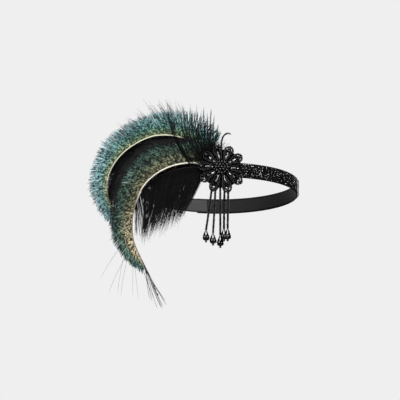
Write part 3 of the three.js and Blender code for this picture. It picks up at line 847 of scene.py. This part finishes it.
def bowed(root, bend, tip):
    """Lines of points from roots to tips, each drawn towards its bend."""
    steps = np.linspace(0, 1, FROND_POINTS)[None, :, None]
    root, bend, tip = root[:, None], bend[:, None], tip[:, None]
    return root * (1 - steps) ** 2 + 2 * bend * steps * (1 - steps) + tip * steps**2


def fronds(rng):
    """The locks' hairs and a small sprig above the rosette, from places in millimetres."""
    lines = []
    for back, hairs, reach in FROND_LOCKS:
        root = np.array([-9 - 25 * back, -88, 22 - 18 * back])
        bend = np.array([-9 - 50 * back, -91.5, 47 - 12 * back])
        tip = np.array([-7 - 59 * back, -90, 76 + 14 * back])
        tip = root + (tip - root) * reach
        root = root + rng.normal(0, 1, (hairs, 3)) * (1.6, 1.2, 1.6)
        bend = bend + rng.normal(0, 1, (hairs, 3)) * (0.9, 0.8, 0.9)
        tip = tip + rng.normal(0, 1, (hairs, 3)) * (0.7, 0.5, 0.8)
        tip = bend + (tip - bend) * rng.uniform(0.55, 1.05, (hairs, 1))
        lines.append(bowed(root, bend, tip))
    sprig = np.array([(2.5, -88, 24), (2, -90, 47), (15, -90, 43)])
    sprig = sprig + rng.normal(0, 0.8, (SPRIG_HAIRS, 3, 3))
    lines.append(bowed(sprig[:, 0], sprig[:, 1], sprig[:, 2]))
    return np.vstack(lines) * MM


frond_rng = np.random.default_rng(35)
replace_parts(plume_hairs("ostrich_top_fronds", fronds(frond_rng), 0.32 * MM, 0.6, 9, 1.0 * MM, 18, frond_rng),
            "ostrich_plume_top")


# Down: the fluffy black after-feathers at the plumes' roots, which puff out round the rosette's upper left.
DOWN_COUNT = 480
DOWN_LENGTH = (9 * MM, 20 * MM)
DOWN_FROM = math.radians(98)
DOWN_TO = math.radians(172)
DOWN_POINTS = 8


def down(rng):
    """Short, soft, wavy barbs that leave the pad's rim and spread outwards over the quills' roots."""
    angle = rng.uniform(DOWN_FROM, DOWN_TO, DOWN_COUNT)
    start = rng.uniform(0.8, 1.0, DOWN_COUNT) * PAD_RADIUS
    depth = rng.uniform(PAD_BACK + 0.2 * MM, PAD_FRONT + 0.4 * MM, DOWN_COUNT)
    root = np.stack([ROSETTE_X + start * np.cos(angle), -depth, start * np.sin(angle)], 1)
    heading = angle + rng.normal(0, 0.45, DOWN_COUNT)
    bend = rng.normal(0, 0.7, DOWN_COUNT)
    steps = np.linspace(0, 1, DOWN_POINTS)
    turn = heading[:, None] + bend[:, None] * steps
    length = rng.uniform(*DOWN_LENGTH, DOWN_COUNT)[:, None] / (DOWN_POINTS - 1)
    run = np.stack([np.cos(turn), rng.normal(0, 0.12, turn.shape), np.sin(turn)], 2)
    run[:, 0] = 0
    return root[:, None] + np.cumsum(run * length[..., None], axis=1)


down_rng = np.random.default_rng(34)
plume_hairs("plume_down", down(down_rng), 0.2 * MM, 0.6, 7, 1.7 * MM, 50, down_rng)


# Bead petals: ten loops of small black glass beads on wire, set round the pad. Each loop holds a long bugle
# bead that points outwards and a round bead at its tip.
PETAL_COUNT = 10
PETAL_FIRST = math.radians(68)
PETAL_TIP = 29.6 * MM
LOWER_PETAL_EXTRA = 4 * MM
PETAL_ROOT = 10.6 * MM
PETAL_WIDTH = 12.6 * MM
LOOP_BEAD = 2.4 * MM
BUGLE_DIAMETER = 2.4 * MM
BUGLE_LENGTH = 9 * MM
TIP_BEAD = 4 * MM
BEAD_BITE = 0.5 * MM
INNER_LOOP_SIZE = 0.62
INNER_LOOP_AT = 0.55
INNER_LOOP_DROP = 0.5 * MM
PETAL_DEPTH = PAD_FRONT + LAYER_GAP + LOOP_BEAD / 2
PETAL_PROFILE = [(0, 0.32), (0.3, 0.62), (0.62, 1), (0.86, 0.82), (1, 0)]
WIRE_STEPS = 240


def glass(name, **sockets):
    """Black glass whose surface is very slightly uneven."""
    material = finish(name, (0.001, 0.001, 0.0012), 0.07, **sockets)
    place = place_on(material)
    wave = add_node(material, "TexNoise", {"Vector": place, "Scale": 350.0, "Detail": 1.0})
    bump(material, wave.outputs["Fac"], 0.12, 0.3 * MM)
    return material


jet = glass("black seed bead glass", IOR=1.36)
polished_jet = glass("polished jet glass", IOR=1.45, Coat_Weight=1.0, Coat_Roughness=0.03, Coat_IOR=1.35)
bugle_jet = glass("mirror-bright bugle glass", IOR=2.3, Coat_Weight=1.0, Coat_Roughness=0.03, Coat_IOR=1.6)


def taken(piece):
    """The points and faces of a piece, which is then deleted."""
    points = np.array([vertex.co[:] for vertex in piece.data.vertices])
    faces = [tuple(face.vertices) for face in piece.data.polygons]
    bpy.data.objects.remove(piece, do_unlink=True)
    return points, faces


def seed_bead():
    """A rocaille: a short round bead with a hole along its Z axis, one unit across."""
    bpy.ops.mesh.primitive_torus_add(major_segments=12, minor_segments=8,
                                     major_radius=0.31, minor_radius=0.19)
    piece = bpy.context.object
    bpy.ops.object.mode_set(mode="EDIT")
    bpy.ops.mesh.select_all(action="SELECT")
    bpy.ops.transform.resize(value=(1, 1, 1.75))
    bpy.ops.object.mode_set(mode="OBJECT")
    return taken(piece)


def round_bead():
    """A round glass bead, one unit across, with a small dimple at each end of its hole."""
    bpy.ops.mesh.primitive_uv_sphere_add(segments=16, ring_count=10, radius=0.5)
    piece = bpy.context.object
    for vertex in piece.data.vertices:
        if abs(vertex.co.z) > 0.49:
            vertex.co.z *= 0.8
    return taken(piece)


def bugle_bead():
    """A bugle bead: a glass tube one unit long and one unit across, with softened ends and an open hole."""
    bpy.ops.mesh.primitive_cylinder_add(vertices=12, radius=0.5, depth=1)
    piece = bpy.context.object
    edit_ends(piece, 2)
    bpy.ops.mesh.inset(thickness=0.09, depth=0.035, use_individual=True)
    bpy.ops.mesh.inset(thickness=0.16, depth=-0.005, use_individual=True)
    bpy.ops.mesh.inset(thickness=0.02, depth=-0.12, use_individual=True)
    bpy.ops.object.mode_set(mode="OBJECT")
    return taken(piece)


SEED_BEAD = seed_bead()
ROUND_BEAD = round_bead()
BUGLE_BEAD = bugle_bead()


def strung(name, items):
    """One mesh of many beads. Each item is a bead's form, its place, the way its hole points, and its size.
    Seed beads take the duller glass, bugles the brightest and all other beads the polished one."""
    points, faces, gloss = [], [], []
    start = 0
    for (form, form_faces), place, axis, size in items:
        kind = 0 if form is SEED_BEAD[0] else 2 if form is BUGLE_BEAD[0] else 1
        gloss += [kind] * len(form_faces)
        z = Vector(axis).normalized()
        x = z.orthogonal().normalized()
        turn = np.array(Matrix((x, z.cross(x), z)).transposed())
        points.append(form * np.asarray(size) @ turn.T + np.asarray(place))
        faces.extend(tuple(corner + start for corner in face) for face in form_faces)
        start += len(form)
    piece = mesh_piece(name, np.vstack(points), faces)
    bpy.context.view_layer.objects.active = piece
    piece.select_set(True)
    bpy.ops.object.shade_smooth_by_angle(angle=math.radians(50))
    piece.select_set(False)
    for material in (jet, polished_jet, bugle_jet):
        piece.data.materials.append(material)
    piece.data.polygons.foreach_set("material_index", gloss)
    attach(piece, "root")
    return piece


def on_rosette(radius, angle, depth):
    return np.array([ROSETTE_X + radius * math.cos(angle), -depth, radius * math.sin(angle)])


bead_rng = np.random.default_rng(41)
for petal in range(PETAL_COUNT):
    angle = PETAL_FIRST - petal * 2 * math.pi / PETAL_COUNT
    sideways = np.array([-math.sin(angle), 0, math.cos(angle)])
    half = (PETAL_WIDTH - LOOP_BEAD) / 2
    petal_tip = PETAL_TIP + LOWER_PETAL_EXTRA * max(0, -math.sin(angle))
    span = petal_tip - LOOP_BEAD / 2 - PETAL_ROOT
    other_side = [(share, -spread) for share, spread in PETAL_PROFILE[-2::-1]]
    outline = PETAL_PROFILE + other_side + PETAL_PROFILE[:1]
    wire = smooth_path([
        on_rosette(PETAL_ROOT + share * span, angle, PETAL_DEPTH) + spread * half * sideways
        for share, spread in outline
    ], WIRE_STEPS + 1)
    length = np.linalg.norm(np.diff(wire, axis=0), axis=1).sum()
    beads = round(length / (LOOP_BEAD * 0.8))
    items = []
    for k in range(beads):
        at = round(k / beads * WIRE_STEPS)
        axis = wire[(at + 3) % WIRE_STEPS] - wire[at - 3]
        size = LOOP_BEAD * bead_rng.uniform(1.04, 1.18)
        items.append((SEED_BEAD, wire[at] + bead_rng.normal(0, 0.06 * MM, 3), axis, (size, size, size)))
    middle = on_rosette(PETAL_ROOT + INNER_LOOP_AT * span, angle, PETAL_DEPTH)
    inner_beads = round(beads * INNER_LOOP_SIZE)
    for k in range(inner_beads):
        at = round(k / inner_beads * WIRE_STEPS)
        place = middle + (wire[at] - middle) * INNER_LOOP_SIZE + np.array([0, INNER_LOOP_DROP, 0])
        items.append((SEED_BEAD, place, wire[(at + 3) % WIRE_STEPS] - wire[at - 3], (LOOP_BEAD,) * 3))
    spoke = on_rosette(1, angle, 0) - on_rosette(0, angle, 0)
    bugle_from = PETAL_ROOT + BUGLE_DIAMETER / 2 - BEAD_BITE
    bugle_middle = on_rosette(bugle_from + BUGLE_LENGTH / 2, angle, PETAL_DEPTH)
    items.append((BUGLE_BEAD, bugle_middle, spoke, (BUGLE_DIAMETER, BUGLE_DIAMETER, BUGLE_LENGTH * 0.93)))
    tip = petal_tip - LOOP_BEAD - TIP_BEAD / 2 + BEAD_BITE
    items.append((ROUND_BEAD, on_rosette(tip, angle, PETAL_DEPTH), spoke, (TIP_BEAD, TIP_BEAD, TIP_BEAD)))
    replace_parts(strung(f"petal_beads_{petal + 1}", items), f"bead_petal_{petal + 1}")


# Bead dome: round glass beads sewn closely over a shallow black button in the rosette's middle. Rings of six
# and twelve stand round a single bead, and eighteen small ones close the edge.
DOME_RADIUS = 8.6 * MM
DOME_THICKNESS = 2.2 * MM
DOME_RISE = 3 * MM
DOME_BEAD = 3.4 * MM
DOME_PITCH = 3.6 * MM
DOME_BACK = PAD_FRONT + LAYER_GAP
SMALL_BEADS = 18

bpy.ops.mesh.primitive_uv_sphere_add(segments=32, ring_count=16, radius=1)
button = bpy.context.object
button.name = "dome_button"
for vertex in button.data.vertices:
    out = max(vertex.co.z, 0)
    vertex.co = (ROSETTE_X + vertex.co.x * DOME_RADIUS,
                 -DOME_BACK - (DOME_THICKNESS * 0.6 * (vertex.co.z > -0.05) + out * DOME_RISE),
                 vertex.co.y * DOME_RADIUS)
face_outwards()
bpy.ops.object.select_all(action="DESELECT")
button.data.materials.append(felt)
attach(button, "root")
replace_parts(button, "bead_dome")


def dome_height(radius):
    return DOME_THICKNESS + DOME_RISE * (1 - (radius / DOME_RADIUS) ** 2)


dome_items = [(ROUND_BEAD, on_rosette(0, 0, DOME_BACK + dome_height(0)), (1, 0, 0), (DOME_BEAD,) * 3)]
for count, radius, size, sink in (
    (6, DOME_PITCH, DOME_BEAD, 0),
    (12, 2 * DOME_PITCH, DOME_BEAD, 0),
    (SMALL_BEADS, 2.55 * DOME_PITCH, DOME_BEAD * 0.55, 1.0 * MM),
):
    for k in range(count):
        angle = (k + 0.5 * (count == SMALL_BEADS)) / count * 2 * math.pi
        depth = DOME_BACK + max(dome_height(radius), DOME_THICKNESS * 0.7) - sink
        axis = (-math.sin(angle), 0, math.cos(angle))
        dome_items.append((ROUND_BEAD, on_rosette(radius, angle, depth), axis, (size,) * 3))
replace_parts(strung("dome_beads", dome_items), "bead_dome")


# Fringe: five strands of small black beads, sewn under the pad's lower rim. Each ends in a polished pear drop
# with a round bead knotted off below it. Each strand has its place across the pad and at its end, its drop
# and how far it stands forward, in millimetres.
STRAND_DIAMETER = 3.2 * MM
STRAND_PITCH = 1.62 * MM
PEAR_LENGTH = 13 * MM
PEAR_DIAMETER = 9 * MM
END_BEAD = 3 * MM
STRAND_DEPTH = 85.1 * MM
STRAND_STEPS = 400
OUTER_STRAND_DROP = 1.1
FRINGE = [(-12, -19.5, 79, 0), (-7.8, -10.9, 83, 0), (-2, -2, 86, 0), (3.2, 2.4, 80, 7.6), (7.8, 7, 77.5, 0)]
PEAR_PROFILE = [(0, 0), (0.14, 0.02), (0.2, 0.14), (0.3, 0.3), (0.4, 0.46), (0.48, 0.62), (0.5, 0.76),
                (0.44, 0.88), (0.3, 0.96), (0.12, 1), (0, 1)]


def pear_drop():
    """A pear drop one unit long and one unit wide, hanging from the origin, spun from half its outline."""
    bpy.ops.mesh.primitive_plane_add(size=1)
    piece = bpy.context.object
    piece.data.clear_geometry()
    side = smooth_path([(width, 0, -down) for width, down in PEAR_PROFILE], 26)
    side[0, 0] = side[-1, 0] = 0
    piece.data.from_pydata(side.tolist(), [(k, k + 1) for k in range(len(side) - 1)], [])
    bpy.ops.object.mode_set(mode="EDIT")
    bpy.ops.mesh.select_all(action="SELECT")
    bpy.ops.mesh.spin(steps=24, angle=2 * math.pi, center=(0, 0, 0), axis=(0, 0, 1))
    bpy.ops.mesh.select_all(action="SELECT")
    bpy.ops.mesh.remove_doubles(threshold=1e-4)
    bpy.ops.mesh.normals_make_consistent(inside=False)
    bpy.ops.object.mode_set(mode="OBJECT")
    return taken(piece)


PEAR_DROP = pear_drop()
for number, (top, bottom, drop, forward) in enumerate(FRINGE, 1):
    middle, depth, pad_radius = ROSETTE_X / MM, -STRAND_DEPTH / MM, PAD_RADIUS / MM
    pad_edge = -math.sqrt(pad_radius**2 - top**2) - LAYER_GAP / MM
    pad_edge -= OUTER_STRAND_DROP * abs(top) / pad_radius
    thread_path = smooth_path(np.array([
        (middle + top, depth, pad_edge),
        (middle + top + (bottom - top) * 0.4, depth - forward / 2, pad_edge - (drop + pad_edge) * 0.45),
        (middle + bottom, depth - forward, -drop),
    ]) * MM, STRAND_STEPS)
    length = np.linalg.norm(np.diff(thread_path, axis=0), axis=1).sum()
    beads = int(length / STRAND_PITCH)
    items = []
    for k in range(beads):
        at = round((k + 0.5) / beads * (STRAND_STEPS - 1))
        axis = thread_path[min(at + 4, STRAND_STEPS - 1)] - thread_path[max(at - 4, 0)]
        size = STRAND_DIAMETER * bead_rng.uniform(0.9, 1.04)
        place = thread_path[at] + np.append(bead_rng.normal(0, 0.05 * MM, 2), 0)
        items.append((SEED_BEAD, place, axis, (size, size, STRAND_PITCH * 1.3)))
    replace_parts(strung(f"strand_beads_{number}", items), f"seed_strand_{number}")
    hang = np.array([ROSETTE_X + bottom * MM, -STRAND_DEPTH - forward * MM, -drop * MM - LAYER_GAP])
    below = hang - np.array([0, 0, PEAR_LENGTH + END_BEAD * 0.4])
    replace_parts(strung(f"drop_beads_{number}", [
        (PEAR_DROP, hang, (0, 0, 1), (PEAR_DIAMETER, PEAR_DIAMETER, PEAR_LENGTH)),
        (ROUND_BEAD, below, (0, 0, 1), (END_BEAD,) * 3),
    ]), f"pear_drop_{number}")


# Studio: a floor far below the headband, which is held up as on a head, a plain grey room, two tall
# softboxes, a soft top light and two from behind. Floor and room look pale and light the headband little.
FLOOR_DROP = 2.6
ROOM_GREY = 0.863
ROOM_GLOW = 0.045
PIXEL = 1.233 * MM
CAMERA_RISE = math.radians(-16.65)
CAMERA_DISTANCE = 7.0
VIEW_CENTRE = (-23.4 * MM, -60 * MM, -33.1 * MM)
PHOTO_PIXELS = 400
LAMPS_AIM = Vector((-0.02, -0.06, -0.02))

bpy.ops.mesh.primitive_plane_add(size=60, location=(0, 0, -FLOOR_DROP))
floor = bpy.context.object
floor.name = "floor"
bpy.ops.object.transform_apply(location=True, rotation=True, scale=True)
floor_paint = finish("pale floor", (0.5, 0.5, 0.5), 0.9, Emission_Color=(0.65, 0.65, 0.65, 1))
floor_seen = add_node(floor_paint, "LightPath")
feed(floor_paint, "Emission Strength", floor_seen.outputs["Is Camera Ray"])
floor.data.materials.append(floor_paint)

world = bpy.data.worlds.new("plain grey room")
bpy.context.scene.world = world
world.use_nodes = True
backdrop = world.node_tree.nodes["Background"]
backdrop.inputs["Color"].default_value = (ROOM_GREY, ROOM_GREY, ROOM_GREY, 1)
glow = add_node(world, "Background", {"Color": (ROOM_GLOW, ROOM_GLOW, ROOM_GLOW, 1)})
seen = add_node(world, "LightPath")
either = add_node(world, "MixShader", {
    "Fac": seen.outputs["Is Camera Ray"], 1: glow.outputs["Background"], 2: backdrop.outputs["Background"]})
world.node_tree.links.new(either.outputs["Shader"], world.node_tree.nodes["World Output"].inputs["Surface"])


def softbox(name, place, width, height, watts):
    bpy.ops.object.light_add(type="AREA", location=place)
    lamp = bpy.context.object
    lamp.name = name
    lamp.data.shape = "RECTANGLE"
    lamp.data.size = width
    lamp.data.size_y = height
    lamp.data.energy = watts
    lamp.rotation_euler = (LAMPS_AIM - Vector(place)).to_track_quat("-Z", "Y").to_euler()


softbox("left_softbox", (-1.0, -1.35, 0.35), 0.26, 1.3, 21)
softbox("right_softbox", (0.9, -1.35, 0.2), 0.24, 1.3, 17)
softbox("top_softbox", (-0.1, -0.9, 1.35), 0.8, 0.4, 17)
softbox("rear_softbox", (0.9, 1.5, 0.7), 1.0, 1.0, 12)
softbox("rear_left_softbox", (-1.3, 1.3, 0.3), 1.0, 1.2, 12)

frame_width = PHOTO_PIXELS * PIXEL
away = Vector((0, -math.cos(CAMERA_RISE), math.sin(CAMERA_RISE))) * CAMERA_DISTANCE
bpy.ops.object.camera_add(location=Vector(VIEW_CENTRE) + away)
camera = bpy.context.object
camera.data.lens = camera.data.sensor_width * CAMERA_DISTANCE / frame_width
camera.data.clip_end = 100
camera.rotation_euler = (-away).to_track_quat("-Z", "Y").to_euler()
bpy.context.scene.camera = camera
bpy.context.scene.view_settings.view_transform = "Standard"
bpy.ops.object.select_all(action="DESELECT")
